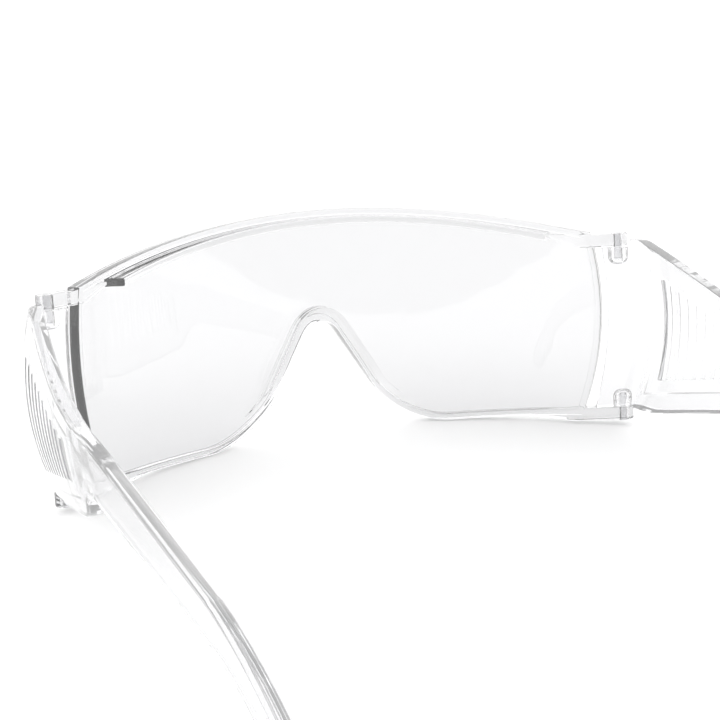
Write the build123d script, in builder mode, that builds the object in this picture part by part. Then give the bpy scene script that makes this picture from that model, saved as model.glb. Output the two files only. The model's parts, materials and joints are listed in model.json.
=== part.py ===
"""Clear over-spectacle safety glasses, opened out and standing on a table.

Seven pieces: a one-piece polycarbonate front, two side arms with moulded side shields, and four
hinge pins. Everything is first shaped in the upright frame of the front: X to the wearer's right,
Y forward, Z up, with zero at the foremost line of the lens. It is then leaned forward until the
bottom of the lens and the tips of the arms touch one level surface, and moved so that the origin
is the middle of the footprint. All sizes are in millimetres.
"""

import os
from math import asin, atan2, cos, degrees, radians, sin, sqrt

from build123d import *

# ---------------------------------------------------------------- driving dimensions: the front
front_radius = 100.0  # radius of the outer face of the lens, a plain upright cylinder
front_half_arc = 74.6  # from the middle to the end of the brow, measured round the outer face
lens_wall = 2.2
brow_mid_height = 25.0  # top edge of the brow in the middle, and at its two ends
brow_end_height = 15.0
lens_bottom = -31.0
end_bulge = 2.9  # how far the lens ends bow outwards
end_top_inset = 2.4  # how far the lens end stands inside the brow end, at the top and the bottom
end_bottom_inset = 5.0

notch_peak = -2.7  # highest point of the nose notch
notch_peak_radius = 5.2
notch_side_angle = 58.5  # slope of the two straight sides, from level
notch_cheek_radius = 24.0

bead_height = 1.8  # the thick edge that runs all round the lens
bead_proud_front = 0.3
bead_proud_back = 0.9
ledge_lip = 1.5  # the brow ledge lies this far under the top edge
ledge_thickness = 1.9
ledge_depth = 5.5  # behind the back face of the lens
ledge_end_clear = 6.0  # the ledge stops this far short of the brow ends, to let the arms fold
saddle_width = 3.6  # the flange round the nose notch
saddle_depth = 3.4
saddle_drop = 20.0  # how far it reaches down from the peak of the notch

# ---------------------------------------------------------------- driving dimensions: the hinges
hinge_out = 3.1  # hinge axis outboard of the brow end, and behind its outer face
hinge_back = 1.4
lug_radius = 2.5
lug_height = 3.3
upper_lug_top = 14.5
lower_lug_bottom = -32.6
neck_wall = 3.0  # the arm that joins a lug to the lens, thicker than the lens itself
neck_length = 12.0
knuckle_height = 4.2
knuckle_gap = 0.2  # between a lug and the knuckle beside it
lug_swing_gap = 0.5  # between a lug's round side and the arm
pin_radius = 0.9
pin_running_clearance = 0.05  # radial, in the knuckle
pin_in_knuckle = 2.8
pin_end_clearance = 0.4  # the knuckle's blind bore is this much deeper than the pin
pin_chamfer = 0.2

# ---------------------------------------------------------------- driving dimensions: the arms
half_width = 79.1  # outer face of the side shield, from the middle of the glasses
corner_angle = 22.0  # the panel beside the lens heads this far behind straight out
corner_gap = 1.0  # between the lens end and the panel
panel_reach = 40.0  # all of the panel lies less than this far behind the front of the lens
fold_radius = 8.0  # where the panel turns back into the side
side_bow_radius = 56.0  # the side bows outwards between its top and its bottom
side_bow_height = -5.0
web_wall = 2.0
rail_wall = 3.3
shield_top_front = 12.8
shield_top_level = 4.5  # length of the level stretch of the top edge, behind the hinge axis
shield_top_length = 52.0  # behind the hinge axis
shield_top_back = -4.4
shield_bottom_front = -31.2
shield_bottom_length = 47.0
shield_bottom_back = -23.8
top_rail = 5.2
bottom_rail = 4.6
post_front = 4.6  # upright rib inside the corner, behind the hinge axis
post_width = 1.7
recess_length = 46.0
slot_count = 10
slot_width = 1.8
slot_pitch = 3.5
slot_front = 11.5  # middle of the first slot, behind the hinge axis
slot_top_margin = 2.0
slot_bottom_margin = 3.2

arm_join = 55.0  # behind the hinge axis, where the bowed shield runs out into the flat arm
arm_join_height = -11.0
arm_splay_in = 4.6  # degrees, behind the shield
arm_splay_start = 42.0  # behind the hinge axis
arm_splay_radius = 90.0
arm_top_start = 60.0  # behind the hinge axis
arm_top_front = -5.6  # top edge of the arm where it leaves the shield
arm_top_fall = 0.303  # for each millimetre back
arm_bottom_start = 55.0
arm_bottom_front = -16.6
arm_bottom_fall = 0.25
hook_start = 127.0  # top of the bend, behind the hinge axis
hook_angle = 50.0  # below level
hook_length = 32.0
hook_height = 8.0
hook_top_radius = 50.0
hook_bottom_radius = 42.0
tip_radius = 3.6
shield_corner_radius = 12.0  # where the top edge of the shield starts to fall
arm_top_radius = 16.0  # the two slight bends where the top edge runs out into the arm
arm_bottom_radius = 8.0  # the inner corner where the arm leaves the bottom of the shield
shield_heel_radius = 10.0  # the lower rear corner of the shield
shield_toe_radius = 20.0  # the slight bend at the lower front

# ---------------------------------------------------------------- places worked out from them
end_angle = front_half_arc / front_radius
brow_end = Vector(front_radius * sin(end_angle), front_radius * (cos(end_angle) - 1))
hinge = brow_end + Vector(hinge_out, -hinge_back)
end_top_x = brow_end.X - end_top_inset
end_bottom_x = brow_end.X - end_bottom_inset
end_mid_x = (end_top_x + end_bottom_x) / 2 + end_bulge
end_mid_height = (brow_end_height + lens_bottom) / 2
brow_rise = brow_mid_height - brow_end_height

side_slope = radians(notch_side_angle)
notch_vertex = notch_peak + notch_peak_radius * (1 / cos(side_slope) - 1)
notch_foot = (notch_vertex - lens_bottom) * cos(side_slope) / sin(side_slope)

upper_lug_bottom = upper_lug_top - lug_height
lower_lug_top = lower_lug_bottom + lug_height
upper_knuckle_top = upper_lug_bottom - knuckle_gap
upper_knuckle_bottom = upper_knuckle_top - knuckle_height
lower_knuckle_bottom = lower_lug_top + knuckle_gap
bore_depth = pin_in_knuckle + pin_end_clearance

panel_angle = radians(corner_angle)
panel_normal = Vector(sin(panel_angle), cos(panel_angle))
splay = radians(arm_splay_in)
hook_drop = radians(hook_angle)

margin = 30.0  # how far cutting tools run past what they cut
section_height = 2.4 * side_bow_radius  # taller than the arms reach up or down


def back(distance, height):
    """A point of the side view, given its distance behind the hinge axis."""
    return (hinge.Y - distance, height)


# ---------------------------------------------------------------- the front, seen from the front
with BuildSketch(Plane.XZ) as lens_outline:
    with BuildLine():
        ThreePointArc(
            (-end_top_x, brow_end_height), (0, brow_mid_height), (end_top_x, brow_end_height)
        )
        for side in (-1, 1):
            ThreePointArc(
                (side * end_top_x, brow_end_height),
                (side * end_mid_x, end_mid_height),
                (side * end_bottom_x, lens_bottom),
            )
        FilletPolyline(
            (end_bottom_x, lens_bottom),
            (notch_foot, lens_bottom),
            (0, notch_vertex),
            (-notch_foot, lens_bottom),
            (-end_bottom_x, lens_bottom),
            radius=(notch_cheek_radius, notch_peak_radius, notch_cheek_radius),
        )
    make_face()

with BuildSketch(Plane.XZ) as bead_face:
    add(lens_outline.sketch_local)
    offset(lens_outline.sketch_local, amount=-bead_height, kind=Kind.ARC, mode=Mode.SUBTRACT)

with BuildSketch(Plane.XZ) as ledge_face:
    with BuildLine():
        ledge_ends = (-brow_end.X, brow_end.X)
        ledge_top = brow_end_height - ledge_lip
        ledge_low = ledge_top - ledge_thickness
        for height in (ledge_top, ledge_low):
            ThreePointArc(
                (ledge_ends[0], height), (0, height + brow_rise), (ledge_ends[1], height)
            )
        for end in ledge_ends:
            Line((end, ledge_top), (end, ledge_low))
    make_face()
    Rectangle(2 * (brow_end.X - ledge_end_clear), 4 * brow_mid_height, mode=Mode.INTERSECT)

with BuildSketch(Plane.XZ) as saddle_face:
    add(lens_outline.sketch_local)
    offset(lens_outline.sketch_local, amount=-saddle_width, kind=Kind.ARC, mode=Mode.SUBTRACT)
    with Locations((0, notch_peak + saddle_width - saddle_drop / 2)):
        Rectangle(2 * notch_foot, saddle_drop + saddle_width, mode=Mode.INTERSECT)

with BuildSketch(Plane.XZ) as neck_face:
    for side in (-1, 1):
        with BuildLine():
            Polyline(
                (side * (brow_end.X - neck_length), brow_end_height),
                (side * brow_end.X, upper_lug_top),
                (side * brow_end.X, upper_lug_bottom),
                (side * (end_top_x - bead_height), upper_lug_bottom),
                close=True,
            )
        make_face()
        with BuildLine():
            Polyline(
                (side * (end_bottom_x - neck_length), lens_bottom),
                (side * (end_bottom_x - bead_height), lower_lug_top),
                (side * end_bottom_x, lower_lug_top),
                (side * end_bottom_x, lower_lug_bottom),
                close=True,
            )
        make_face()


def curved_wall(face, proud_front, depth):
    """Push a front view through the lens, and keep what lies in a shell round its axis."""
    with BuildPart() as wall:
        extrude(face, amount=front_radius, both=True)
        with BuildSketch(Plane.XY.offset(-front_radius)):
            with Locations((0, -front_radius)):
                Circle(front_radius + proud_front)
                Circle(front_radius - depth, mode=Mode.SUBTRACT)
            with Locations((0, front_radius / 2)):
                # Only the front half of the shell: the back half would be a second lens.
                Rectangle(4 * front_radius, 3 * front_radius, mode=Mode.INTERSECT)
        extrude(amount=2 * front_radius, mode=Mode.INTERSECT)
    return wall.part


with BuildPart() as lens_front:
    add(curved_wall(lens_outline.sketch, 0, lens_wall))
    add(curved_wall(bead_face.sketch, bead_proud_front, lens_wall + bead_proud_back))
    add(curved_wall(ledge_face.sketch, -lens_wall / 2, lens_wall + ledge_depth))
    add(curved_wall(saddle_face.sketch, -lens_wall / 2, lens_wall + saddle_depth))
    add(curved_wall(neck_face.sketch, bead_proud_front, neck_wall))
    for side in (-1, 1):
        for bottom, root_x in ((upper_lug_bottom, end_top_x), (lower_lug_bottom, end_bottom_x)):
            # Each lug and the short neck that joins it to the end of the lens.
            root_radius = front_radius + bead_proud_front - neck_wall / 2
            root_y = sqrt(root_radius**2 - (root_x - neck_wall) ** 2) - front_radius
            with BuildSketch(Plane.XY.offset(bottom)):
                with Locations((side * hinge.X, hinge.Y)):
                    Circle(lug_radius)
                with Locations((side * (root_x - neck_wall), root_y)):
                    Circle(neck_wall / 2)
                make_hull()
            extrude(amount=lug_height)
            with BuildSketch(Plane.XY.offset(bottom)):
                with Locations((side * hinge.X, hinge.Y)):
                    Circle(pin_radius)
            extrude(amount=lug_height, mode=Mode.SUBTRACT)

# ---------------------------------------------------------------- the right arm
with BuildSketch(Plane.YZ) as arm_outline:
    hook_way = Vector(cos(hook_drop), -sin(hook_drop))
    hook_down = Vector(-sin(hook_drop), -cos(hook_drop))
    bend_top = Vector(hook_start, arm_top_front - arm_top_fall * (hook_start - arm_top_start))
    tip_top = bend_top + hook_way * hook_length
    tip_low = tip_top + hook_down * hook_height
    # The lower line of the hook runs back until it meets the lower line of the arm.
    arm_low = arm_bottom_front - arm_bottom_fall * (tip_low.X - arm_bottom_start)
    run = (arm_low - tip_low.Y) / (sin(hook_drop) - arm_bottom_fall * cos(hook_drop))
    bend_low = tip_low - hook_way * run
    with BuildLine():
        FilletPolyline(
            back(-margin, shield_top_front),
            back(shield_top_level, shield_top_front),
            back(shield_top_length, shield_top_back),
            back(arm_top_start, arm_top_front),
            back(bend_top.X, bend_top.Y),
            back(tip_top.X, tip_top.Y),
            back(tip_low.X, tip_low.Y),
            back(bend_low.X, bend_low.Y),
            back(arm_bottom_start, arm_bottom_front),
            back(shield_bottom_length, shield_bottom_back),
            back(0, shield_bottom_front),
            back(-margin, shield_bottom_front),
            radius=(
                shield_corner_radius, arm_top_radius, arm_top_radius, hook_top_radius,
                tip_radius, tip_radius, hook_bottom_radius, arm_bottom_radius,
                shield_heel_radius, shield_toe_radius,
            ),
        )
        Line(back(-margin, shield_bottom_front), back(-margin, shield_top_front))
    make_face()

# The web of the shield lies back from the rails, inside this outline.
shield_fall = (shield_top_front - shield_top_back) / (shield_top_length - shield_top_level)
shield_lift = (shield_bottom_back - shield_bottom_front) / shield_bottom_length
recess_front = post_front + post_width


def recess_top(distance):
    """Height of the lower edge of the top rail."""
    return shield_top_front - top_rail - shield_fall * (distance - shield_top_level)


def recess_low(distance):
    """Height of the upper edge of the bottom rail."""
    return shield_bottom_front + bottom_rail + shield_lift * distance


with BuildSketch(Plane.YZ) as rail_face:
    add(arm_outline.sketch_local)
    with BuildLine():
        Polyline(
            back(recess_front, recess_top(recess_front)),
            back(recess_length, recess_top(recess_length)),
            back(recess_length, recess_low(recess_length)),
            back(recess_front, recess_low(recess_front)),
            close=True,
        )
    make_face(mode=Mode.SUBTRACT)
    with Locations(back(post_front - margin, 0)):
        Rectangle(2 * margin, 4 * margin, mode=Mode.SUBTRACT)

with BuildSketch(Plane.YZ) as slot_face:
    for turn in range(slot_count):
        distance = slot_front + turn * slot_pitch
        top = recess_top(distance) - slot_top_margin
        low = recess_low(distance) + slot_bottom_margin
        with Locations(back(distance, (top + low) / 2)):
            Rectangle(slot_width, top - low)


def side_block(inset):
    """All that lies inside the skin of the right side, with the skin moved in by inset."""
    start = Vector(half_width, margin)
    bend = Vector(half_width, hinge.Y - arm_splay_start)
    reach = tip_top.X + margin
    bow = side_bow_radius - inset
    tilt = asin((side_bow_height - arm_join_height) / side_bow_radius)
    blocks = []
    for is_arm in (False, True):
        with BuildPart() as block:
            with BuildLine():
                FilletPolyline(
                    start,
                    bend,
                    bend - Vector(sin(splay), cos(splay)) * reach,
                    radius=arm_splay_radius,
                )
            with BuildSketch(Plane(origin=start, x_dir=(1, 0, 0), z_dir=(0, -1, 0))):
                with Locations((-side_bow_radius, side_bow_height)):
                    if is_arm:
                        # Flat, and tangent to the bow of the shield where the two meet.
                        with Locations((bow * cos(tilt), -bow * sin(tilt))):
                            Rectangle(
                                bow, 4 * bow, align=(Align.MAX, Align.CENTER),
                                rotation=-degrees(tilt),
                            )
                    else:
                        Circle(bow)
                with Locations((-side_bow_radius / 2, side_bow_height)):
                    # Only the outer half of the section: the inner half would be a second wall.
                    Rectangle(side_bow_radius, section_height, mode=Mode.INTERSECT)
            sweep()
            split(
                bisect_by=Plane.XZ.offset(arm_join - hinge.Y),
                keep=Keep.TOP if is_arm else Keep.BOTTOM,
            )
        blocks.append(block.part)
    with BuildPart() as side:
        add(blocks[0])
        # The panel beside the lens cuts it off in front, and turns into the side round a corner.
        split(
            bisect_by=Plane(origin=brow_end - panel_normal * inset, z_dir=panel_normal),
            keep=Keep.BOTTOM,
        )
        panel = side.faces().sort_by(Axis.Y)[-1]
        fillet(panel.edges().sort_by(Axis.X)[-1], radius=fold_radius - inset)
        add(blocks[1])
    return side.part


skin = side_block(0)
with BuildPart() as rails:
    add(skin)
    add(side_block(rail_wall), mode=Mode.SUBTRACT)
    extrude(rail_face.sketch, amount=2 * half_width, mode=Mode.INTERSECT)

with BuildPart() as temple_right:
    add(skin)
    add(side_block(web_wall), mode=Mode.SUBTRACT)
    extrude(arm_outline.sketch, amount=2 * half_width, mode=Mode.INTERSECT)
    add(rails.part)
    extrude(slot_face.sketch, amount=2 * half_width, mode=Mode.SUBTRACT)
    # The front edge of the panel follows the end of the lens.
    with BuildSketch(Plane.XZ.offset(-margin)) as lens_side:
        offset(lens_outline.sketch_local, amount=corner_gap, kind=Kind.ARC)
    extrude(amount=margin + panel_reach, mode=Mode.SUBTRACT)
    # The panel stands back from the lugs and from the necks, which swing past it.
    clear_length = neck_length + lug_radius
    with BuildSketch(Plane.XY.offset(upper_knuckle_top)) as lug_room:
        with Locations((hinge.X + lug_radius + lug_swing_gap, hinge.Y - clear_length)):
            Rectangle(half_width, half_width, align=(Align.MAX, Align.MIN))
    extrude(amount=margin, mode=Mode.SUBTRACT)
    extrude(lug_room.sketch.moved(Location((0, 0, lower_knuckle_bottom - upper_knuckle_top))),
            amount=-margin, mode=Mode.SUBTRACT)
    for bottom in (upper_knuckle_bottom, lower_knuckle_bottom):
        with BuildSketch(Plane.XY.offset(bottom)):
            with Locations(hinge):
                Circle(lug_radius)
        extrude(amount=knuckle_height)
    for mouth, way in ((upper_knuckle_top, -1), (lower_knuckle_bottom, 1)):
        with BuildSketch(Plane.XY.offset(mouth)):
            with Locations(hinge):
                Circle(pin_radius + pin_running_clearance)
        extrude(amount=way * bore_depth, mode=Mode.SUBTRACT)

with BuildPart() as temple_left:
    mirror(temple_right.part, about=Plane.YZ)

# ---------------------------------------------------------------- the four hinge pins
pin_length = lug_height + knuckle_gap + pin_in_knuckle
pins = {}
for side_name, side in (("left", -1), ("right", 1)):
    for level, start, way in (("upper", upper_lug_top, -1), ("lower", lower_lug_bottom, 1)):
        with BuildPart() as pin:
            with BuildSketch(Plane.XY.offset(start)):
                with Locations((side * hinge.X, hinge.Y)):
                    Circle(pin_radius)
            extrude(amount=way * pin_length)
            inner_end = pin.faces().sort_by(Axis.Z)[0 if way < 0 else -1]
            chamfer(inner_end.edges(), length=pin_chamfer)
        pins[f"pin_{level}_{side_name}"] = pin.part

# ---------------------------------------------------------------- standing on its lens and tips
shapes = {
    "lens_front": lens_front.part,
    "temple_left": temple_left.part,
    "temple_right": temple_right.part,
    **pins,
}


def lowest(shape, angle):
    """Height of the lowest point of a shape leaned forward by so many degrees."""
    return shape.rotate(Axis.X, -angle).bounding_box().min.Z


# Lean until the lens and the tips are equally low. Each try takes out nearly all of the error.
lean = 0.0
for _ in range(5):
    error = lowest(shapes["lens_front"], lean) - lowest(shapes["temple_right"], lean)
    lean += degrees(atan2(error, -back(tip_low.X, 0)[0]))

leaned = {name: shape.rotate(Axis.X, -lean) for name, shape in shapes.items()}
boxes = [shape.bounding_box() for shape in leaned.values()]
floor = min(box.min.Z for box in boxes)
middle = (min(box.min.Y for box in boxes) + max(box.max.Y for box in boxes)) / 2
to_origin = Location((0, -middle, -floor))

os.makedirs("parts", exist_ok=True)
for name, shape in leaned.items():
    piece = shape.moved(to_origin)
    piece.label = name
    export_step(piece, f"parts/{name}.step")

hinge_foot = Vector(hinge.X, hinge.Y, 0).rotate(Axis.X, -lean) + Vector(0, -middle, -floor)
hinge_way = Vector(0, 0, 1).rotate(Axis.X, -lean)
print(f"lean {lean:.4f} degrees, shift {-middle:.4f} {-floor:.4f}")
print("hinge line through", hinge_foot, "along", hinge_way)
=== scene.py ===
# %% [markdown]
# # Clear safety glasses, as a lesson in Blender
# Over-spectacle safety glasses are three clear mouldings: a curved front with a nose notch, and
# two arms that broaden into side shields. Short pins join them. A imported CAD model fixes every
# size and both hinges, and these cells build finer surfaces close to it, on the same bodies. The
# brow ledge ends about 4 mm earlier here, on each side. What makes clear plastic look real is its
# edges, so every piece gets rounded ones.

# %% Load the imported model
import json
import math

import bmesh
import bpy
from mathutils import Matrix, Vector

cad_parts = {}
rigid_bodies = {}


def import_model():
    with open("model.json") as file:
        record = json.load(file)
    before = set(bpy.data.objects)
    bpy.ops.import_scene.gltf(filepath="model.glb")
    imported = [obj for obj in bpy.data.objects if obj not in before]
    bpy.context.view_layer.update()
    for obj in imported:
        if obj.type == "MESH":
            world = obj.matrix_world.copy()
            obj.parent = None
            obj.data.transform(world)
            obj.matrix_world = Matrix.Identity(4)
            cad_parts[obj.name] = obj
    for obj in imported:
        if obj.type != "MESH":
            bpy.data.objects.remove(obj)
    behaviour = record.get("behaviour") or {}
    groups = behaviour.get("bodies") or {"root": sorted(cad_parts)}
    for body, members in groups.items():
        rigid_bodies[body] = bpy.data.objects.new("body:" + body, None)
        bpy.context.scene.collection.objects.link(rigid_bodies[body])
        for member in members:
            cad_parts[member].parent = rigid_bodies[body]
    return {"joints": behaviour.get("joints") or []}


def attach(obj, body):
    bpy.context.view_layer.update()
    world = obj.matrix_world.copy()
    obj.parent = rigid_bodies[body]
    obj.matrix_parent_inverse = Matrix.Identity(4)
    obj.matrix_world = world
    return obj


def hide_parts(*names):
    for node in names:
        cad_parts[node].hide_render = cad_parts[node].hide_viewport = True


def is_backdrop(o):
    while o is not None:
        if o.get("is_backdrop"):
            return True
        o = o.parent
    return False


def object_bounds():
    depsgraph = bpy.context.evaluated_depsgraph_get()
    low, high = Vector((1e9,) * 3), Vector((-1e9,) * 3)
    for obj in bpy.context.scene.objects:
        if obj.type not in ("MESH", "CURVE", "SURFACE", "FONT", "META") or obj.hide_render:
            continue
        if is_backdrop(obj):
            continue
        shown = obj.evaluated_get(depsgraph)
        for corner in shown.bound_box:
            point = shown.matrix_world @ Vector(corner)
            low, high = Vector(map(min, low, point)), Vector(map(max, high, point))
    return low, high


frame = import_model()
cad_low, cad_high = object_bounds()
scene = bpy.context.scene
print("size in mm", [round((high - low) * 1000, 1) for low, high in zip(cad_low, cad_high)])

# %% [markdown]
# The glasses stand on the bottom of the lens and the tips of the arms, so the front leans
# forward. Shaping is far easier in an upright frame, with X to the wearer's right, Y forward, Z
# up and zero at the foremost line of the lens. The right hinge is known in both frames, and its
# line gives the lean, so it ties the two together. Upright sizes are in millimetres.

# %% From the upright frame to the scene
LENS_RADIUS = 100.0
BROW_HALF_ARC = 74.6
HINGE_BEHIND_BROW_END = 1.4

brow_angle = BROW_HALF_ARC / LENS_RADIUS
brow_end_x = LENS_RADIUS * math.sin(brow_angle)
brow_end_y = LENS_RADIUS * (math.cos(brow_angle) - 1)
joint = next(joint for joint in frame["joints"] if joint["name"] == "right_fold")
hinge_place = Vector(joint["pos_m"])
hinge_line = -Vector(joint["axis"])
hinge_x = hinge_place.x * 1000
hinge_y = brow_end_y - HINGE_BEHIND_BROW_END
lean = math.atan2(hinge_line.y, hinge_line.z)
to_scene = (
    Matrix.Translation(hinge_place)
    @ Matrix.Rotation(-lean, 4, "X")
    @ Matrix.Scale(0.001, 4)
    @ Matrix.Translation((-hinge_x, -hinge_y, 0))
)
print("lean in degrees", round(math.degrees(lean), 2))
print("hinge, upright", round(hinge_x, 2), round(hinge_y, 2))


# %% [markdown]
# The front and the arms are thin mouldings with rounded rims. Each starts as a flat outline whose
# corners are rounded by vertex bevels. Nested insets then draw rings inside it, and every vertex
# remembers how far in it lies, so the section of the rim can be shaped ring by ring. Only after
# that is the sheet thickened and bent, because all of these tools are exact on flat work. HAIR
# and TOUCH are millimetres. Places closer than that count as level, or as one.


# %% Helpers for flat work
HAIR, TOUCH = 1e-3, 1e-4


def round_corner(bm, corner, radius, steps):
    """Round one corner of a flat outline, given as (x, z)."""
    vert = min(bm.verts, key=lambda v: (v.co.x - corner[0]) ** 2 + (v.co.z - corner[1]) ** 2)
    ways = [edge.other_vert(vert).co - vert.co for edge in vert.link_edges]
    turn = math.pi - ways[0].angle(ways[1])
    bmesh.ops.bevel(
        bm,
        geom=[vert],
        offset=radius * math.tan(turn / 2),
        offset_type="OFFSET",
        affect="VERTICES",
        segments=steps,
        profile=0.5,
        material=-1,
    )


def flat_outline(corners):
    """A flat face from corners (x, z, radius, steps), facing forward."""
    bm = bmesh.new()
    bm.faces.new([bm.verts.new((x, 0, z)) for x, z, _, _ in corners])
    for x, z, radius, steps in corners:
        if radius:
            round_corner(bm, (x, z), radius, steps)
    bm.faces.ensure_lookup_table()
    bm.normal_update()
    if bm.faces[0].normal.y < 0:
        bmesh.ops.reverse_faces(bm, faces=bm.faces)
    return bm


def draw_rings(bm, distances):
    """Inset the one face of an outline again and again; vertices remember how far in they are."""
    inset = bm.verts.layers.float.new("inset")
    middle = bm.faces[0]
    before = 0.0
    for distance in distances:
        bmesh.ops.inset_region(
            bm,
            faces=[middle],
            thickness=distance - before,
            use_boundary=True,
            use_even_offset=True,
        )
        for vert in middle.verts:
            vert[inset] = distance
        before = distance
    return inset


def cut(bm, place, way, wanted=None):
    """Add a straight cut at a place, square to way, through the faces that are wanted."""
    faces = [face for face in bm.faces if wanted is None or wanted(face.calc_center_bounds())]
    parts = {part for face in faces for part in (face, *face.edges, *face.verts)}
    bmesh.ops.bisect_plane(bm, geom=list(parts), plane_co=place, plane_no=way, dist=TOUCH)


def steps_between(low, high, step):
    """Evenly spaced places from low to high, no further apart than step."""
    count = math.ceil((high - low) / step)
    return [low + (high - low) * turn / count for turn in range(count + 1)]


def thicken(bm):
    """Add a second skin to a flat sheet, with walls between, and return the second skin."""
    made = bmesh.ops.extrude_face_region(bm, geom=bm.faces[:], use_keep_orig=True)["geom"]
    return [part for part in made if isinstance(part, bmesh.types.BMVert)]


def ease(value, low, high):
    """0 below low, 1 above high, and a smooth rise between them."""
    part = min(max((value - low) / (high - low), 0.0), 1.0)
    return part * part * (3 - 2 * part)


def rounded_step(distance, start, stop, height, radius):
    """Height of a band between two insets, with its edges rounded, and 0 outside it."""
    if not start - TOUCH <= distance <= stop + TOUCH:
        return 0.0
    into = min(max(distance - start, 0.0), max(stop - distance, 0.0), radius)
    return height - radius + math.sqrt(radius**2 - (radius - into) ** 2)


# %% [markdown]
# The small round parts are rods. They could be modelled into the sheets by hand, but an exact
# Boolean joins a rod or drills a bore at once and leaves a clean line where two surfaces meet. A
# finished piece has sharp edges only where two faces meet at a clear angle. The weighted normals
# then shade each large face as one, so most highlights fall on the narrow rounded edges.

# %% Helpers for solids
ROD_SIDES, PIN_SIDES, LUG_SIDES = 48, 32, 40
SHARP_ANGLE = math.radians(38)


def solid_rod(place, radius, low, high, sides=ROD_SIDES):
    """An upright rod between two heights."""
    bm = bmesh.new()
    bmesh.ops.create_cone(
        bm, cap_ends=True, segments=sides, radius1=radius, radius2=radius, depth=high - low
    )
    bmesh.ops.translate(bm, verts=bm.verts, vec=(*place, (low + high) / 2))
    return bm


def end_edges(bm, height):
    """The edges that lie at one height."""
    return [edge for edge in bm.edges if all(abs(v.co.z - height) < TOUCH for v in edge.verts)]


def soften(bm, edges, width, steps):
    """Round some edges of a solid."""
    bmesh.ops.bevel(
        bm,
        geom=edges,
        offset=width,
        offset_type="OFFSET",
        affect="EDGES",
        segments=steps,
        profile=0.5,
        clamp_overlap=True,
        material=-1,
    )


def combine(bm, tool, operation):
    """Join a solid with another, or cut the other from it. Both are used up."""
    pair = []
    for shape in (bm, tool):
        bmesh.ops.recalc_face_normals(shape, faces=shape.faces)
        mesh = bpy.data.meshes.new("scratch")
        shape.to_mesh(mesh)
        shape.free()
        pair.append(bpy.data.objects.new("scratch", mesh))
        scene.collection.objects.link(pair[-1])
    boolean = pair[0].modifiers.new("combine", "BOOLEAN")
    boolean.solver = "EXACT"
    boolean.operation = operation
    boolean.object = pair[1]
    depsgraph = bpy.context.evaluated_depsgraph_get()
    mesh = bpy.data.meshes.new_from_object(pair[0].evaluated_get(depsgraph))
    result = bmesh.new()
    result.from_mesh(mesh)
    bpy.data.meshes.remove(mesh)
    for scratch in pair:
        old = scratch.data
        bpy.data.objects.remove(scratch)
        bpy.data.meshes.remove(old)
    return result


def make_piece(bm, name, body, node):
    """Turn a solid in upright millimetres into a finished object on its CAD body."""
    bmesh.ops.remove_doubles(bm, verts=bm.verts, dist=TOUCH)
    bmesh.ops.dissolve_degenerate(bm, edges=bm.edges, dist=TOUCH)
    gaps = [edge for edge in bm.edges if edge.is_boundary]
    bmesh.ops.holes_fill(bm, edges=gaps, sides=4)
    bmesh.ops.transform(bm, matrix=to_scene, verts=bm.verts)
    bmesh.ops.recalc_face_normals(bm, faces=bm.faces)
    open_edges = sum(not edge.is_manifold for edge in bm.edges)
    volume = bm.calc_volume(signed=True) * 1e9
    mesh = bpy.data.meshes.new(name)
    bm.to_mesh(mesh)
    bm.free()
    mesh.shade_smooth()
    mesh.set_sharp_from_angle(angle=SHARP_ANGLE)
    piece = bpy.data.objects.new(name, mesh)
    scene.collection.objects.link(piece)
    even = piece.modifiers.new("even_shading", "WEIGHTED_NORMAL")
    even.keep_sharp = True
    even.weight = 100
    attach(piece, body)
    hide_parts(node)
    print(name, len(mesh.polygons), "faces,", open_edges, "open edges,", round(volume), "mm3")


# %% [markdown]
# ## The front
# The real front is one polycarbonate moulding: a curved lens, a thick rim all round it, a ledge
# behind the brow that keeps drips and dust out, and a flange round the nose notch. The lens is
# made as a plain upright cylinder, so a flat sheet wraps onto it without stretching when its
# width is measured round the curve.

# %% The front: outline
BROW_MID, BROW_END, LENS_BOTTOM = 25.0, 15.0, -31.0
END_TOP_X, END_BOTTOM_X, END_BULGE = brow_end_x - 2.4, brow_end_x - 5.0, 2.9
NOTCH_PEAK, NOTCH_RADIUS, CHEEK_RADIUS = -2.7, 5.2, 24.0
NOTCH_SLOPE = math.radians(58.5)
NOTCH_STEPS, CHEEK_STEPS = 16, 14
LONG_EDGE, OUTLINE_STEP, STRIP = 30.0, 5.0, 1.3

notch_vertex = NOTCH_PEAK + NOTCH_RADIUS * (1 / math.cos(NOTCH_SLOPE) - 1)
notch_foot = (notch_vertex - LENS_BOTTOM) / math.tan(NOTCH_SLOPE)


def unroll(x):
    """Distance round the lens to a place seen from the front."""
    return LENS_RADIUS * math.asin(x / LENS_RADIUS)


def lens_end(height):
    """How far from the middle the end of the lens is, at some height, seen from the front."""
    part = (height - LENS_BOTTOM) / (BROW_END - LENS_BOTTOM)
    straight = END_BOTTOM_X + (END_TOP_X - END_BOTTOM_X) * part
    return straight + END_BULGE * (1 - (2 * part - 1) ** 2)


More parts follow.
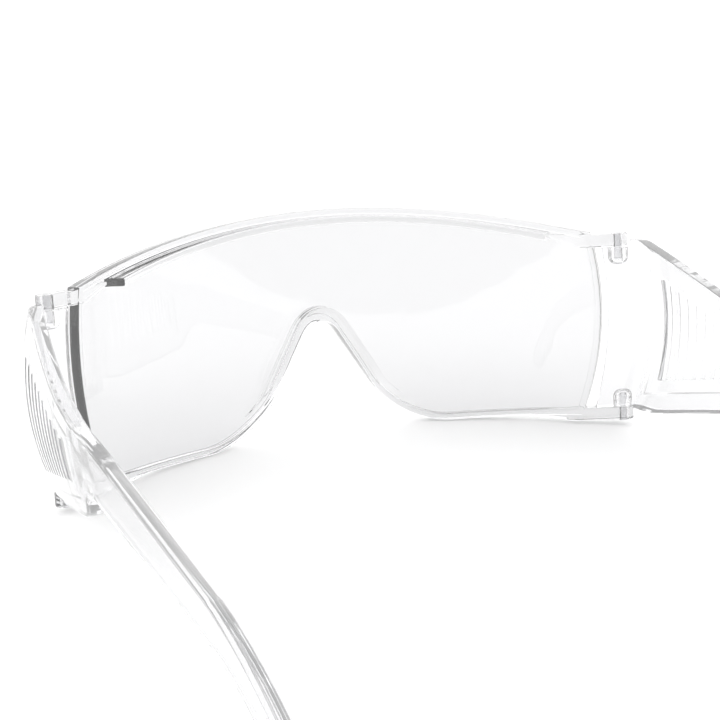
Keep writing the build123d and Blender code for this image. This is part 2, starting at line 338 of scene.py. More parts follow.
right_half = [
    (unroll(END_TOP_X), BROW_END, 0, 0),
    (unroll(END_BOTTOM_X), LENS_BOTTOM, 0, 0),
    (notch_foot, LENS_BOTTOM, CHEEK_RADIUS, CHEEK_STEPS),
]
left_half = [(-x, *rest) for x, *rest in reversed(right_half)]
notch = (0.0, notch_vertex, NOTCH_RADIUS, NOTCH_STEPS)
front = flat_outline([*right_half, notch, *left_half])
for edge in [edge for edge in front.edges if edge.calc_length() > LONG_EDGE]:
    count = round(edge.calc_length() / OUTLINE_STEP)
    bmesh.ops.subdivide_edges(front, edges=[edge], cuts=count)
for vert in front.verts:
    if vert.co.z > BROW_END - HAIR:
        across = LENS_RADIUS * math.sin(vert.co.x / LENS_RADIUS) / END_TOP_X
        vert.co.z += (BROW_MID - BROW_END) * (1 - across**2)
    elif abs(vert.co.x) > unroll(END_BOTTOM_X) - HAIR:
        vert.co.x = math.copysign(unroll(lens_end(vert.co.z)), vert.co.x)
print("outline", len(front.verts), "points, area", round(sum(f.calc_area() for f in front.faces)))

# %% [markdown]
# The rim, ledge and flange differ only in how high they stand behind the lens at each ring, so
# one function of the inset shapes all three. Each has rounded shoulders, as a mould gives it.
# Those shoulders are what catches the light on clear plastic.

# %% The front: rim, ledge and flange
LENS_WALL = 2.2
RIM_WIDTH, BAND_END, SHOULDER = 1.6, 3.4, 0.45
RIM_BACK, RIM_FRONT, LEDGE_BACK, FLANGE_BACK = 0.9, 0.3, 5.5, 3.4
LEDGE_END, LEDGE_FADE, FLANGE_FOOT, FLANGE_FULL = 61.5, 0.7, -25.0, -13.0
BROW_FROM, GUARD_RING = 0.3 * BROW_END, 0.1

shoulder_rings = (0.06, 0.2, SHOULDER)
rings = [
    *shoulder_rings,
    *(RIM_WIDTH - ring for ring in reversed(shoulder_rings)),
    RIM_WIDTH,
    *(RIM_WIDTH + ring for ring in shoulder_rings),
    *(BAND_END - ring for ring in reversed(shoulder_rings)),
    BAND_END,
    BAND_END + GUARD_RING,
]
inset = draw_rings(front, rings)
for place in steps_between(-unroll(END_TOP_X), unroll(END_TOP_X), STRIP)[1:-1]:
    cut(front, (place, 0, 0), (1, 0, 0))
for side in (-1, 1):
    for place in (LEDGE_END - LEDGE_FADE, LEDGE_END - LEDGE_FADE / 2, LEDGE_END):
        cut(front, (side * place, 0, 0), (1, 0, 0))


def stands_behind(distance, x, z):
    """How far the back face stands behind the plain lens."""
    rim = rounded_step(distance, 0, RIM_WIDTH, RIM_BACK, SHOULDER)
    if z > BROW_FROM:
        share = 1 - ease(abs(x), LEDGE_END - LEDGE_FADE, LEDGE_END)
        band = rounded_step(distance, RIM_WIDTH, BAND_END, LEDGE_BACK, SHOULDER)
        return rim + share * max(0.0, band - rim)
    if abs(x) < notch_foot + CHEEK_RADIUS:
        share = ease(z, FLANGE_FOOT, FLANGE_FULL)
        band = rounded_step(distance, 0, BAND_END, FLANGE_BACK, SHOULDER)
        return rim + share * max(0.0, band - rim)
    return rim


back_skin = set(thicken(front))
for vert in front.verts:
    if vert in back_skin:
        vert.co.y = -LENS_WALL - stands_behind(vert[inset], vert.co.x, vert.co.z)
    else:
        vert.co.y = rounded_step(vert[inset], 0, RIM_WIDTH, RIM_FRONT, RIM_FRONT)
print("front", len(front.faces), "faces, closed", all(e.is_manifold for e in front.edges))


# %% [markdown]
# Bending turns the distance across the flat sheet into an angle round the lens. Short necks grow
# from its ends to carry the hinge lugs. They are small flat plates bent the same way. Their faces
# stay a little off those of the lugs, because a Boolean is unsure of faces that lie in one plane.

# %% The front: bend and necks
NECK_FRONT, NECK_BACK, NECK_ROUND, NECK_ROUND_STEPS = 0.2, 2.8, 0.4, 3
NECK_REACH, NECK_STRIP = 85.0, 2.5


def bend_round_lens(bm):
    """Wrap flat work onto the cylinder of the lens."""
    for vert in bm.verts:
        angle = vert.co.x / LENS_RADIUS
        radius = LENS_RADIUS + vert.co.y
        vert.co.x = radius * math.sin(angle)
        vert.co.y = radius * math.cos(angle) - LENS_RADIUS


def make_neck(corners, side):
    """A short thick plate at the end of the lens, from its corners seen from the front."""
    outline = [(side * unroll(x), z, NECK_ROUND, NECK_ROUND_STEPS) for x, z in corners]
    neck = flat_outline(outline)
    back_skin = set(thicken(neck))
    for vert in neck.verts:
        vert.co.y = -NECK_BACK if vert in back_skin else NECK_FRONT
    for place in steps_between(-NECK_REACH, NECK_REACH, NECK_STRIP):
        cut(neck, (place, 0, 0), (1, 0, 0))
    bend_round_lens(neck)
    return neck


bend_round_lens(front)
print("bent front, width in mm", round(max(v.co.x for v in front.verts) * 2, 1))

# %% [markdown]
# Each lug is the hull of two circles, which is how a draughtsman blends a round lug into a bar:
# a large one round the hinge axis and a small one inside the end of the lens. The hull is cleaned
# down to its one flat face, which is then extruded to the height of the lug.

# %% The front: lugs
HINGE_WALL, HINGE_FRONT = 3.0, 0.3
LUG_RADIUS, LUG_HEIGHT, LUG_ROUND, LUG_ROUND_STEPS = 2.5, 3.3, 0.35, 3
FLAT_ANGLE = 0.01
hinge = (hinge_x, hinge_y)


def make_lug(side, low, root_x):
    """A round lug on a bar that starts inside the end of the lens."""
    lug = bmesh.new()
    inner_x = root_x - HINGE_WALL
    root_radius = LENS_RADIUS + HINGE_FRONT - HINGE_WALL / 2
    root = (inner_x, math.sqrt(root_radius**2 - inner_x**2) - LENS_RADIUS)
    for place, radius in ((hinge, LUG_RADIUS), (root, HINGE_WALL / 2)):
        made = bmesh.ops.create_circle(lug, segments=LUG_SIDES, radius=radius)["verts"]
        bmesh.ops.translate(lug, verts=made, vec=(side * place[0], place[1], low))
    hull = bmesh.ops.convex_hull(lug, input=lug.verts)
    bmesh.ops.delete(lug, geom=list(set(hull["geom_interior"])), context="VERTS")
    inner_edges = [edge for edge in lug.edges if not edge.is_boundary]
    bmesh.ops.dissolve_limit(lug, angle_limit=FLAT_ANGLE, verts=lug.verts, edges=inner_edges)
    flat = max(lug.faces, key=lambda face: face.calc_area())
    bmesh.ops.delete(lug, geom=[f for f in lug.faces if f is not flat], context="FACES")
    made = bmesh.ops.extrude_face_region(lug, geom=[flat], use_keep_orig=True)["geom"]
    for vert in (part for part in made if isinstance(part, bmesh.types.BMVert)):
        vert.co.z += LUG_HEIGHT
    bmesh.ops.recalc_face_normals(lug, faces=lug.faces)
    ends = end_edges(lug, low) + end_edges(lug, low + LUG_HEIGHT)
    soften(lug, ends, LUG_ROUND, LUG_ROUND_STEPS)
    return lug


print("hinge axis, upright mm", [round(part, 1) for part in hinge])

# %% [markdown]
# Both ends of the lens get an upper and a lower lug, each on its own neck. The bore of each lug is
# drilled right through once it is joined on, so that no wall is left inside the bore.

# %% The front: join necks and lugs, and drill the bores
NECK_LENGTH, NECK_INSET = 12.0, 0.12
UPPER_LUG_LOW, LOWER_LUG_LOW = 11.2, -32.6
BORE_RADIUS, BORE_OVERRUN = 0.95, 1.0

upper_neck = [
    (brow_end_x - NECK_LENGTH, BROW_END),
    (brow_end_x, UPPER_LUG_LOW + LUG_HEIGHT - NECK_INSET),
    (brow_end_x, UPPER_LUG_LOW + NECK_INSET),
    (END_TOP_X - RIM_WIDTH, UPPER_LUG_LOW + NECK_INSET),
]
lower_neck = [
    (END_BOTTOM_X - NECK_LENGTH, LENS_BOTTOM),
    (END_BOTTOM_X - RIM_WIDTH, LOWER_LUG_LOW + LUG_HEIGHT - NECK_INSET),
    (END_BOTTOM_X, LOWER_LUG_LOW + LUG_HEIGHT - NECK_INSET),
    (END_BOTTOM_X, LOWER_LUG_LOW + NECK_INSET),
]
for side in (-1, 1):
    for corners, low, root_x in (
        (upper_neck, UPPER_LUG_LOW, END_TOP_X),
        (lower_neck, LOWER_LUG_LOW, END_BOTTOM_X),
    ):
        front = combine(front, make_neck(corners, side), "UNION")
        front = combine(front, make_lug(side, low, root_x), "UNION")
        bore_low, bore_top = low - BORE_OVERRUN, low + LUG_HEIGHT + BORE_OVERRUN
        bore = solid_rod((side * hinge_x, hinge_y), BORE_RADIUS, bore_low, bore_top)
        front = combine(front, bore, "DIFFERENCE")
make_piece(front, "lens_moulding", "front", "lens_front")

# %% [markdown]
# ## The arms
# Each arm is one moulding too: a panel beside the lens, a side shield with thick rails round a
# thin web, a row of upright slots for air, made as ten, and the arm with its ear bend. It is drawn
# flat in the same way. Distances run back from the hinge axis, and the thin web is a second height
# of the inner skin inside slanting cuts.

# %% The arm: sizes and curves
SHIELD_TOP, SHIELD_LEVEL, SHIELD_LENGTH, SHIELD_TOP_BACK = 12.8, 4.5, 52.0, -4.4
SHIELD_LOW, SHIELD_LOW_LENGTH, SHIELD_LOW_BACK = -31.2, 47.0, -23.8
ARM_TOP_START, ARM_TOP, ARM_TOP_FALL = 60.0, -5.6, 0.303
ARM_LOW_START, ARM_LOW, ARM_LOW_FALL = 55.0, -16.6, 0.25
HOOK_START, HOOK_LENGTH, HOOK_HEIGHT, TIP_RADIUS = 127.0, 32.0, 8.0, 3.6
HOOK_DROP = math.radians(50.0)
HALF_WIDTH, BOW_RADIUS, BOW_HEIGHT = 79.1, 56.0, -5.0
PANEL_ANGLE, FOLD_RADIUS, SIDE_START = math.radians(22.0), 8.0, 8.6
LENS_GAP, LUG_GAP, LENS_EDGE_STEP = 1.0, 0.5, 2.0
UPPER_KNUCKLE_TOP, LOWER_KNUCKLE_LOW = 11.0, -29.1
TOP_CORNER_BACK, TOP_CORNER_ROUND, TOP_BACK_ROUND = 1.5, 9.0, 16.0
ARM_TOP_ROUND, ARM_LOW_ROUND, EAR_BEND_TOP, EAR_BEND_LOW = 16.0, 8.0, 50.0, 42.0
SHIELD_HEEL_ROUND, SHIELD_TOE_ROUND = 10.0, 20.0

top_fall = (SHIELD_TOP - SHIELD_TOP_BACK) / (SHIELD_LENGTH - SHIELD_LEVEL)
low_rise = (SHIELD_LOW_BACK - SHIELD_LOW) / SHIELD_LOW_LENGTH
panel_way = Vector((-math.cos(PANEL_ANGLE), math.sin(PANEL_ANGLE)))
panel_out = Vector((math.sin(PANEL_ANGLE), math.cos(PANEL_ANGLE)))
fold_turn = math.pi / 2 - PANEL_ANGLE
lug_clear_x = hinge_x + LUG_RADIUS + LUG_GAP


def side_x(height):
    """Outer face of the bowed side shield, seen from the front."""
    return HALF_WIDTH - BOW_RADIUS + math.sqrt(BOW_RADIUS**2 - (height - BOW_HEIGHT) ** 2)


def fold_centre(height):
    """Middle of the round corner between the side and the panel."""
    x = side_x(height) - FOLD_RADIUS
    lift = (FOLD_RADIUS + (x - brow_end_x) * math.sin(PANEL_ANGLE)) / math.cos(PANEL_ANGLE)
    return Vector((x, brow_end_y - lift))


def level_part(height):
    """Length of the straight side in front of SIDE_START, before the corner begins."""
    return SIDE_START - (hinge_y - fold_centre(height).y)


def distance_on_panel(x, height):
    """Flat distance behind the hinge axis of a place on the panel or corner, given its x."""
    centre = fold_centre(height)
    before = SIDE_START - level_part(height)
    tangent = centre.x + FOLD_RADIUS * panel_out.x
    if x > tangent:
        return before - FOLD_RADIUS * math.acos(min(1.0, (x - centre.x) / FOLD_RADIUS))
    return before - FOLD_RADIUS * fold_turn - (tangent - x) / math.cos(PANEL_ANGLE)


print("widest in mm", 2 * HALF_WIDTH, "corner in degrees", round(math.degrees(fold_turn), 1))

# %% [markdown]
# The ear bend is the arm's top and bottom line turned steeply down, with a round corner in each.
# The bottom line is followed until it meets the underside of the hook, so the arm keeps one
# smooth taper. The front edge follows the curved end of the lens with an even gap.

# %% The arm: ear bend and outline
hook_way = Vector((math.cos(HOOK_DROP), -math.sin(HOOK_DROP)))
hook_down = Vector((-math.sin(HOOK_DROP), -math.cos(HOOK_DROP)))
bend_top = Vector((HOOK_START, ARM_TOP - ARM_TOP_FALL * (HOOK_START - ARM_TOP_START)))
tip_top = bend_top + hook_way * HOOK_LENGTH
tip_low = tip_top + hook_down * HOOK_HEIGHT
under = ARM_LOW - ARM_LOW_FALL * (tip_low.x - ARM_LOW_START) - tip_low.y
run = under / (math.sin(HOOK_DROP) - ARM_LOW_FALL * math.cos(HOOK_DROP))
bend_low = tip_low - hook_way * run

lens_edge = [
    (distance_on_panel(lens_end(height) + LENS_GAP, height), height, 0, 0)
    for height in steps_between(LOWER_KNUCKLE_LOW, UPPER_KNUCKLE_TOP, LENS_EDGE_STEP)
]
toe_distance = (LOWER_KNUCKLE_LOW - SHIELD_LOW) / low_rise
arm_corners = [
    *lens_edge,
    (distance_on_panel(lug_clear_x, UPPER_KNUCKLE_TOP), UPPER_KNUCKLE_TOP, 0, 0),
    (distance_on_panel(lug_clear_x, SHIELD_TOP), SHIELD_TOP, 0, 0),
    (SHIELD_LEVEL + TOP_CORNER_BACK, SHIELD_TOP, TOP_CORNER_ROUND, 8),
    (SHIELD_LENGTH, SHIELD_TOP_BACK, TOP_BACK_ROUND, 5),
    (ARM_TOP_START, ARM_TOP, ARM_TOP_ROUND, 4),
    (*bend_top, EAR_BEND_TOP, 16),
    (*tip_top, TIP_RADIUS, 10),
    (*tip_low, TIP_RADIUS, 10),
    (*bend_low, EAR_BEND_LOW, 16),
    (ARM_LOW_START, ARM_LOW, ARM_LOW_ROUND, 8),
    (SHIELD_LOW_LENGTH, SHIELD_LOW_BACK, SHIELD_HEEL_ROUND, 8),
    (toe_distance, LOWER_KNUCKLE_LOW, SHIELD_TOE_ROUND, 5),
]
print("arm outline from", round(min(c[0] for c in arm_corners), 1), "to", round(tip_top.x, 1))

# %% [markdown]
# The web of the shield is a recess between two rails and a post, with the row of slots in it. The
# lines of the recess and of each slot are cut across the flat sheet, and a slot's own faces are
# then taken out. Two parallel cuts make each edge of the recess a narrow slope, as a mould needs.

# %% The arm: rings, recess and slots
TOP_RAIL, BOTTOM_RAIL, POST_FRONT, POST_WIDTH, RECESS_END = 5.2, 4.6, 4.6, 1.7, 46.0
SLOT_COUNT, SLOT_WIDTH, SLOT_PITCH, SLOT_FIRST = 10, 1.8, 3.5, 11.5
SLOT_TOP_MARGIN, SLOT_LOW_MARGIN = 2.0, 3.2
WEB_WALL, RAIL_WALL, STEP_WIDTH = 2.0, 3.3, 0.25
ARM_EDGE, SHIELD_EDGE = 1.1, 0.5
EDGE_RINGS = (0.07, 0.22, 0.5, 0.8, ARM_EDGE)

recess_start = POST_FRONT + POST_WIDTH


def recess_top(distance, inside=0.0):
    """Lower edge of the top rail, or a line just under it."""
    return SHIELD_TOP - TOP_RAIL - top_fall * (distance - SHIELD_LEVEL) - inside


def recess_low(distance, inside=0.0):
    """Upper edge of the bottom rail, or a line just over it."""
    return SHIELD_LOW + BOTTOM_RAIL + low_rise * distance + inside


def in_recess_span(middle):
    """Whether a place lies between the post and the back of the recess."""
    return recess_start < middle.x < RECESS_END


def in_recess(middle):
    """Whether a place lies on the thin web."""
    low, top = recess_low(middle.x, STEP_WIDTH), recess_top(middle.x, STEP_WIDTH)
    return in_recess_span(middle) and low < middle.z < top


def cut_slot(arm, distance):
    """Open one upright slot in the web, at some distance behind the hinge."""
    top = recess_top(distance) - SLOT_TOP_MARGIN
    low = recess_low(distance) + SLOT_LOW_MARGIN

    def in_column(middle):
        return in_recess(middle) and abs(middle.x - distance) < SLOT_WIDTH / 2

    for place in (distance - SLOT_WIDTH / 2, distance + SLOT_WIDTH / 2):
        cut(arm, (place, 0, 0), (1, 0, 0), in_recess)
    for height in (top, low):
        cut(arm, (0, 0, height), (0, 0, 1), in_column)
    middles = {face: face.calc_center_bounds() for face in arm.faces}
    slot = [face for face, at in middles.items() if in_column(at) and low < at.z < top]
    bmesh.ops.delete(arm, geom=slot, context="FACES")


def draw_arm():
    """The flat sheet of one arm, with its slots cut out."""
    arm = flat_outline(arm_corners)
    draw_rings(arm, EDGE_RINGS)
    for place in (POST_FRONT - STEP_WIDTH, POST_FRONT, recess_start, recess_start + STEP_WIDTH):
        cut(arm, (place, 0, 0), (1, 0, 0))
    for place in (RECESS_END - STEP_WIDTH, RECESS_END):
        cut(arm, (place, 0, 0), (1, 0, 0))
    for inside in (0.0, STEP_WIDTH):
        cut(arm, (0, 0, recess_top(0, inside)), (top_fall, 0, 1), in_recess_span)
        cut(arm, (0, 0, recess_low(0, inside)), (-low_rise, 0, 1), in_recess_span)
    for turn in range(SLOT_COUNT):
        cut_slot(arm, SLOT_FIRST + turn * SLOT_PITCH)
    return arm


arm = draw_arm()
print("flat arm", len(arm.faces), "faces, area", round(sum(f.calc_area() for f in arm.faces)))

# %% [markdown]
# The real shield bows outwards to clear the cheek, while the arm behind it is flat and leans in
# towards the ear. No single bend gives that, so a rule says where each flat distance goes: round
# the side, the corner or the panel, as each has it at that height.

# %% The arm: the bend
SPLAY, SPLAY_START, SPLAY_RUN_IN = math.radians(4.6), 42.0, 3.6
ARM_JOIN_HEIGHT, FLAT_FROM, FLAT_TO = -11.0, 51.0, 59.0
LOWEST_BOWED = SHIELD_LOW - 1

flat_x = side_x(ARM_JOIN_HEIGHT)
flat_slope = (BOW_HEIGHT - ARM_JOIN_HEIGHT) / (flat_x - HALF_WIDTH + BOW_RADIUS)


def skin_x(distance, height):
    """Outer face of the side, bowed in front and flat behind, before the arm turns inwards."""
    flat = flat_x + flat_slope * (height - ARM_JOIN_HEIGHT)
    share = ease(distance, FLAT_FROM, FLAT_TO)
    bowed = side_x(max(height, LOWEST_BOWED)) if share < 1 else flat
    return bowed + share * (flat - bowed)


def splay_in(distance):
    """How far the arm has turned inwards."""
    start, stop = SPLAY_START - SPLAY_RUN_IN, SPLAY_START + SPLAY_RUN_IN
    if distance <= start:
        return 0.0
    if distance >= stop:
        return (distance - SPLAY_START) * math.tan(SPLAY)
    return (distance - start) ** 2 / (2 * (stop - start)) * math.tan(SPLAY)


def bend_arm(point):
    """Take a point from the flat arm to its place."""
    distance, depth, height = point.x, -point.y, point.z
    if distance >= SIDE_START:
        x = skin_x(distance, height) - splay_in(distance) - depth
        return Vector((x, hinge_y - distance, height))
    ahead = SIDE_START - distance - level_part(height)
    if ahead <= 0:
        return Vector((side_x(height) - depth, hinge_y - distance, height))
    centre = fold_centre(height)
    turn = min(ahead / FOLD_RADIUS, fold_turn)
    out = Vector((math.cos(turn), math.sin(turn)))
    place = centre + out * (FOLD_RADIUS - depth)
    if turn == fold_turn:
        place += panel_way * (ahead - FOLD_RADIUS * fold_turn)
    return Vector((place.x, place.y, height))


print("straight side begins at", SIDE_START, "and the splay at", SPLAY_START - SPLAY_RUN_IN)

# %% [markdown]
# The flat arm gets its second skin, its rounded edges and its two wall thicknesses. The edges of
# the recess and the slots are too crisp for rings, so a fine bevel rounds them. The sheet is then
# cut into strips where it has to curve: along its length at the corner and the splay, and along
# its height where the side bows. A face with many corners would crease when bent, so the sheet is
# made of triangles first.

# %% The arm: walls, edges and strips
CRISP_ROUND, CRISP_ANGLE = 0.11, math.radians(40)
HOLD_FROM, HOLD_FULL, RING_SLACK = 44.0, 62.0, 0.01
PANEL_FRONT, PANEL_STRIP = -9.0, 0.8
TURN_FROM, TURN_TO, TURN_STRIP = 36.0, 64.0, 2.0
BOW_MARGIN, BOW_STRIP, BOW_REACH = 1.0, 1.8, 66.0


def wall_at(distance, height):
    """Wall thickness: thin in the panel and in the recess, thick elsewhere."""
    thick = distance > POST_FRONT - HAIR
    in_span = recess_start + STEP_WIDTH - HAIR < distance < RECESS_END - STEP_WIDTH + HAIR
    low, top = recess_low(distance, STEP_WIDTH), recess_top(distance, STEP_WIDTH)
    recessed = in_span and low - HAIR < height < top + HAIR
    return RAIL_WALL if thick and not recessed else WEB_WALL


def edge_drop(distance_in, distance):
    """How far a skin falls away near the edge: more on the arm, which is pleasant to hold."""
    radius = SHIELD_EDGE + (ARM_EDGE - SHIELD_EDGE) * ease(distance, HOLD_FROM, HOLD_FULL)
    reach = max(0.0, radius - distance_in)
    return radius - math.sqrt(radius**2 - reach**2)


inset = arm.verts.layers.float["inset"]
inner_skin = set(thicken(arm))
for vert in arm.verts:
    drop = edge_drop(vert[inset], vert.co.x)
    wall = wall_at(vert.co.x, vert.co.z)
    vert.co.y = -(wall - drop) if vert in inner_skin else -drop
bmesh.ops.recalc_face_normals(arm, faces=arm.faces)
crisp = [
    edge
    for edge in arm.edges
    if edge.calc_face_angle(0) > CRISP_ANGLE
    and edge.verts[0][inset] > ARM_EDGE - RING_SLACK
    and abs(edge.verts[0].co.y - edge.verts[1].co.y) < STEP_WIDTH
]
soften(arm, crisp, CRISP_ROUND, 2)
print("crisp edges rounded", len(crisp))
for place in steps_between(PANEL_FRONT, SIDE_START, PANEL_STRIP):
    cut(arm, (place, 0, 0), (1, 0, 0))
for place in steps_between(TURN_FROM, TURN_TO, TURN_STRIP):
    cut(arm, (place, 0, 0), (1, 0, 0))
for height in steps_between(SHIELD_LOW + BOW_MARGIN, SHIELD_TOP - BOW_MARGIN, BOW_STRIP):
    cut(arm, (0, 0, height), (0, 0, 1), lambda middle: middle.x < BOW_REACH)
bmesh.ops.triangulate(arm, faces=arm.faces)
for vert in arm.verts:
    vert.co = bend_arm(vert.co)
print("arm", len(arm.faces), "faces, open edges", sum(not e.is_manifold for e in arm.edges))

# %% [markdown]
# A knuckle is a short rod with one domed end, joined to the panel where the hinge axis passes
# it. Its blind bore is a little wider than the pin. The mouths are set in by a hundredth of a
# millimetre, so that they share no plane with the panel. The left arm is the right one mirrored,
# and make_piece turns its faces outwards again.

# %% The arm: knuckles and both sides
KNUCKLE_HEIGHT, BORE_DEPTH, DOME, DOME_STEPS = 4.2, 3.2, 1.9, 8
MOUTH_ROUND, MOUTH_STEPS, MOUTH_SHIFT = 0.2, 2, 0.01


def add_knuckle(arm, mouth, way):
    """Join one knuckle and drill it; way is -1 when it hangs down from its mouth."""
    far = mouth + way * KNUCKLE_HEIGHT
    knuckle = solid_rod(hinge, LUG_RADIUS, min(mouth, far), max(mouth, far))
    soften(knuckle, end_edges(knuckle, far), DOME, DOME_STEPS)
    soften(knuckle, end_edges(knuckle, mouth), MOUTH_ROUND, MOUTH_STEPS)
    deep = mouth + way * BORE_DEPTH
    bore = solid_rod(hinge, BORE_RADIUS, min(mouth - way, deep), max(mouth - way, deep))
    return combine(combine(arm, knuckle, "UNION"), bore, "DIFFERENCE")


arm = add_knuckle(arm, UPPER_KNUCKLE_TOP - MOUTH_SHIFT, -1)
arm = add_knuckle(arm, LOWER_KNUCKLE_LOW + MOUTH_SHIFT, 1)
left_arm = arm.copy()
bmesh.ops.scale(left_arm, verts=left_arm.verts, vec=(-1, 1, 1))
make_piece(arm, "arm_moulding_right", "right_arm", "temple_right")
make_piece(left_arm, "arm_moulding_left", "left_arm", "temple_left")

# %% [markdown]
# What peg the real arms turn on is not known, so plain pins stand in for it. They are short rods
# with a chamfer on the end that enters the knuckle.

# %% The pins
PIN_RADIUS, PIN_LENGTH, PIN_CHAMFER = 0.88, 6.3, 0.2
PIN_ROUND, PIN_ROUND_STEPS = 0.08, 2
UPPER_LUG_TOP = UPPER_LUG_LOW + LUG_HEIGHT

for side_name, side in (("left", -1), ("right", 1)):
    for level, start, way in (("upper", UPPER_LUG_TOP, -1), ("lower", LOWER_LUG_LOW, 1)):
        far = start + way * PIN_LENGTH
        low, top = min(start, far), max(start, far)
        pin = solid_rod((side * hinge_x, hinge_y), PIN_RADIUS, low, top, PIN_SIDES)
        soften(pin, end_edges(pin, far), PIN_CHAMFER, 1)
        soften(pin, end_edges(pin, start), PIN_ROUND, PIN_ROUND_STEPS)
        cad_pin = f"pin_{level}_{side_name}"
        make_piece(pin, f"hinge_pin_{level}_{side_name}", "front", cad_pin)

# %% [markdown]
# ## Finish
# All of it is injection-moulded polycarbonate, water clear, with a gloss taken from a polished
# mould. What tells the eye that it is plastic and not glass is small: a soft waviness left by
# shrinkage, a haze of fine handling scratches, and a grey that deepens where light travels along
# the moulding and leaves by its edge. Absorption in the volume and a light grey tint give it. A
# real edge also shines with light that has bounced about inside for longer than a render follows
# it, and a small glow stands in for that light.


# %% Material helpers
def srgb(code):
    """A hex colour as linear red, green, blue and alpha."""
    parts = [int(code[start : start + 2], 16) / 255 for start in (1, 3, 5)]
    linear = [c / 12.92 if c <= 0.04045 else ((c + 0.055) / 1.055) ** 2.4 for c in parts]
    return (*linear, 1.0)


def add_node(tree, kind, settings=None, inputs=None):
    """Add a node, set its properties, and set or link its inputs."""
    node = tree.nodes.new(kind)
    for key, value in (settings or {}).items():
        setattr(node, key, value)
    for key, value in (inputs or {}).items():
        if isinstance(value, bpy.types.NodeSocket):
            tree.links.new(value, node.inputs[key])
        else:
            node.inputs[key].default_value = value
    return node


# %% [markdown]
# One function makes all three finishes, because the plastic is the same and only its haze, its
# depth and its glow differ. Both patterns are noise: broad and soft for the shrinkage waves, which
# bend the highlights, and fine for the scratches, which blur them. The refractive index is set
# below the 1.585 of the real plastic, because the edges turn too dark at that value here.

# %% Clear polycarbonate
WAVE_MM, SCRATCH_MM = 14.0, 0.9
INDEX, WAVE_STRENGTH, WAVE_HEIGHT_M = 1.47, 0.04, 0.0006
SCRATCH_LOW, SCRATCH_HIGH, HAZE_SPREAD = 0.35, 0.75, 3
# The second colour is that of a painted glow, standing in for light bounced about inside.
INSIDE_GREY, PAINTED_GLOW_COLOUR = "#BCBCBC", "#FCFCFC"


def clear_polycarbonate(name, tint, haze, density, painted_glow):
    """Injection-moulded polycarbonate from a polished mould, a little handled."""
    material = bpy.data.materials.new(name)
    material.use_nodes = True
    tree = material.node_tree
    tree.nodes.clear()
    place = add_node(tree, "ShaderNodeTexCoord").outputs["Object"]
    # Waves of 14 mm make highlights wander. Real scratches are far finer than 0.9 mm, but would
    # not show, so they are drawn that coarse and give a patchy, slightly worn gloss.
    waves = add_node(
        tree,
        "ShaderNodeTexNoise",
        inputs={"Vector": place, "Scale": 1000 / WAVE_MM, "Detail": 2.0, "Roughness": 0.4},
    )
    scratches = add_node(
        tree,
        "ShaderNodeTexNoise",
        inputs={"Vector": place, "Scale": 1000 / SCRATCH_MM, "Detail": 5.0, "Roughness": 0.7},
    )
    roughness = add_node(
        tree,
        "ShaderNodeMapRange",
        inputs={
            "Value": scratches.outputs["Fac"],
            "From Min": SCRATCH_LOW,
            "From Max": SCRATCH_HIGH,
            "To Min": haze,
            "To Max": haze * HAZE_SPREAD,
        },
    )
    bump = add_node(
        tree,
        "ShaderNodeBump",
        inputs={
            "Height": waves.outputs["Fac"],
            "Strength": WAVE_STRENGTH,
            "Distance": WAVE_HEIGHT_M,
        },
    )
    # The emission paints a glow over the whole surface; it stands in for light bounced about
    # inside.
    plastic = add_node(
        tree,
        "ShaderNodeBsdfPrincipled",
        inputs={
            "Base Color": srgb(tint),
            "IOR": INDEX,
            "Transmission Weight": 1.0,
            "Emission Color": srgb(PAINTED_GLOW_COLOUR),
            "Emission Strength": painted_glow,
            "Roughness": roughness.outputs["Result"],
            "Normal": bump.outputs["Normal"],
        },
    )
    body = add_node(
        tree,
        "ShaderNodeVolumeAbsorption",
        inputs={"Color": srgb(INSIDE_GREY), "Density": density},
    )
    add_node(
        tree,
        "ShaderNodeOutputMaterial",
        inputs={"Surface": plastic.outputs["BSDF"], "Volume": body.outputs["Volume"]},
    )
    return material


# The front is the most polished. The arms are handled more, so they are hazier, and they get the
# strongest painted glow, for the light that shines from their long edges. The pins are the least
# polished.
finishes = {
    "lens_moulding": clear_polycarbonate("polycarbonate_clear_lens", "#E1E1E2", 0.012, 55, 0.035),
    "arm_moulding": clear_polycarbonate("polycarbonate_clear_arm", "#DEDEDF", 0.02, 22, 0.075),
    "hinge_pin": clear_polycarbonate("polycarbonate_clear_pin", "#E6E6E7", 0.03, 40, 0.06),
}
for start, finish in finishes.items():
    for piece in [obj for obj in bpy.data.objects if obj.name.startswith(start)]:
        piece.data.materials.clear()
        piece.data.materials.append(finish)
print("finishes", [finish.name for finish in finishes.values()])

# %% [markdown]
# ## Setting
# The glasses stand on plain white paper in even white light. The paper glows a little, so that it
# stays nearly white close to the glasses too.

# %% Floor
FLOOR_SIZE, PAPER_ROUGHNESS, PAPER_GLOW = 12.0, 0.9, 0.13

paper = bpy.data.materials.new("matt_white_paper")
paper.use_nodes = True
paper_shader = paper.node_tree.nodes["Principled BSDF"]
paper_shader.inputs["Base Color"].default_value = srgb("#FAFAFA")
paper_shader.inputs["Roughness"].default_value = PAPER_ROUGHNESS
paper_shader.inputs["Emission Color"].default_value = srgb("#FFFFFF")
paper_shader.inputs["Emission Strength"].default_value = PAPER_GLOW
floor_work = bmesh.new()
bmesh.ops.create_grid(floor_work, x_segments=1, y_segments=1, size=FLOOR_SIZE / 2)
floor_mesh = bpy.data.meshes.new("floor")
floor_work.to_mesh(floor_mesh)
floor_work.free()
floor_mesh.materials.append(paper)
floor = bpy.data.objects.new("floor", floor_mesh)
scene.collection.objects.link(floor)
floor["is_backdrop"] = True
print("floor", FLOOR_SIZE, "m across")

# %% [markdown]
# Clear plastic only shows what it bends and reflects, so the sky needs something darker for the
# rims to pick up. Lamps and cards would do it, but two soft zones in the sky itself leave no hard
# shapes in the plastic: one low down behind the camera, and one straight overhead. Their limits
# are the forward and upward parts of a direction that is one unit long.

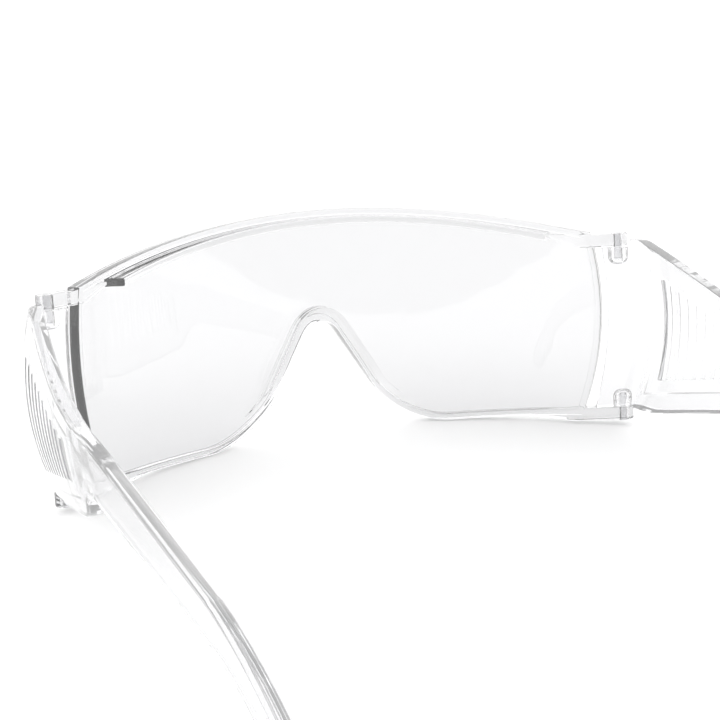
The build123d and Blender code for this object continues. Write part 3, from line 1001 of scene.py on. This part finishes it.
# %% Sky
SKY_BRIGHT, SKY_DARK = 1.65, 0.5
BEHIND_FULL, BEHIND_NONE = -0.8, -0.2
LOW_FULL, LOW_NONE = 0.2, 0.6
OVERHEAD_NONE, OVERHEAD_FULL = 0.7, 0.95

world = bpy.data.worlds.new("studio")
scene.world = world
world.use_nodes = True
sky = world.node_tree
sky.nodes.clear()
way = add_node(sky, "ShaderNodeTexCoord").outputs["Generated"]
split = add_node(sky, "ShaderNodeSeparateXYZ", inputs={"Vector": way})
behind = add_node(
    sky,
    "ShaderNodeMapRange",
    {"interpolation_type": "SMOOTHSTEP"},
    {
        "Value": split.outputs["Y"],
        "From Min": BEHIND_FULL,
        "From Max": BEHIND_NONE,
        "To Min": 1,
        "To Max": 0,
    },
)
low = add_node(
    sky,
    "ShaderNodeMapRange",
    {"interpolation_type": "SMOOTHSTEP"},
    {
        "Value": split.outputs["Z"],
        "From Min": LOW_FULL,
        "From Max": LOW_NONE,
        "To Min": 1,
        "To Max": 0,
    },
)
low_behind = add_node(
    sky,
    "ShaderNodeMath",
    {"operation": "MULTIPLY"},
    {0: behind.outputs["Result"], 1: low.outputs["Result"]},
)
overhead = add_node(
    sky,
    "ShaderNodeMapRange",
    {"interpolation_type": "SMOOTHSTEP"},
    {
        "Value": split.outputs["Z"],
        "From Min": OVERHEAD_NONE,
        "From Max": OVERHEAD_FULL,
        "To Min": 0,
        "To Max": 1,
    },
)
dark = add_node(
    sky,
    "ShaderNodeMath",
    {"operation": "MAXIMUM"},
    {0: low_behind.outputs["Value"], 1: overhead.outputs["Result"]},
)
brightness = add_node(
    sky,
    "ShaderNodeMapRange",
    inputs={"Value": dark.outputs["Value"], "To Min": SKY_BRIGHT, "To Max": SKY_DARK},
)
shade = add_node(
    sky,
    "ShaderNodeBackground",
    inputs={"Color": srgb("#FFFFFF"), "Strength": brightness.outputs["Result"]},
)
add_node(sky, "ShaderNodeOutputWorld", inputs={"Surface": shade.outputs["Background"]})
scene.view_settings.view_transform = "Standard"
scene.view_settings.look = "None"
print("sky brightness from", SKY_DARK, "to", SKY_BRIGHT)

# %% [markdown]
# The camera looks forward and a little down, from behind the wearer's left side, close enough
# that the near arm looks clearly larger than the far one.

# %% Camera
CAMERA_PLACE = (-0.1317, -0.2674, 0.1345)
FOCAL_MM, NEAREST_M = 78.65, 0.01
YAW, PITCH, ROLL = math.radians(22.06), math.radians(17.27), math.radians(-0.66)

camera_data = bpy.data.cameras.new("camera")
camera_data.lens = FOCAL_MM
camera_data.clip_start = NEAREST_M
camera = bpy.data.objects.new("camera", camera_data)
camera.matrix_world = (
    Matrix.Translation(CAMERA_PLACE)
    @ Matrix.Rotation(-YAW, 4, "Z")
    @ Matrix.Rotation(math.pi / 2 - PITCH, 4, "X")
    @ Matrix.Rotation(ROLL, 4, "Z")
)
scene.collection.objects.link(camera)
scene.camera = camera
print("camera at", CAMERA_PLACE)

# %% [markdown]
# The new surfaces should fill the same box as the imported model, so both boxes are printed
# side by side.

# %% Measure and finish
new_low, new_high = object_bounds()
boxes = {
    "cad": [list(cad_low), list(cad_high)],
    "visual": [list(new_low), list(new_high)],
}
for name, (low, high) in boxes.items():
    print(name, "size in mm", [round((b - a) * 1000, 2) for a, b in zip(low, high)])
